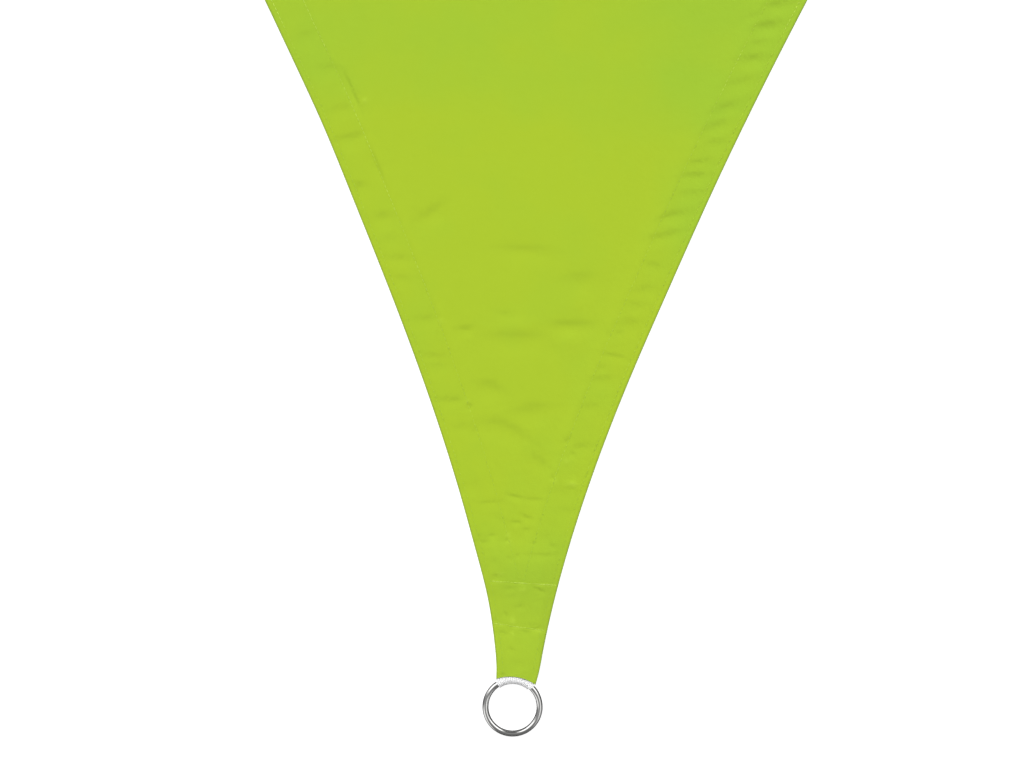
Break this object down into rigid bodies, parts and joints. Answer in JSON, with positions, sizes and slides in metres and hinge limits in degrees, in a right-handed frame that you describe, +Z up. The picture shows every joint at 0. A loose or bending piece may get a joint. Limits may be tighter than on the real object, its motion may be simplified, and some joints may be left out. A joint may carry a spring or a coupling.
{
  "type": "shade sail",
  "caption": "Triangular shade sail of coated fabric with hollow hemmed sides, laid flat, and a steel ring in a webbing loop at each corner.",
  "frame": {"origin": "middle of the sail's underside, on the ground, where the lines from the corners meet", "axes": "+Z up through the face of the sail; the first corner points along -Y and the other two lie 120 degrees further round"},
  "size_m": [3.0499, 2.6514, 0.0093],
  "materials": {
    "sail_fabric": "coated polyester, matt with a faint sheen",
    "webbing": "white ribbed webbing",
    "ring_steel": "polished stainless steel"
  },
  "bodies": {
    "root": {"sail_cloth": "sail_fabric", "strap_1": "webbing", "strap_2": "webbing", "strap_3": "webbing", "ring_1": "ring_steel", "ring_2": "ring_steel", "ring_3": "ring_steel"}
  },
  "joints": []
}
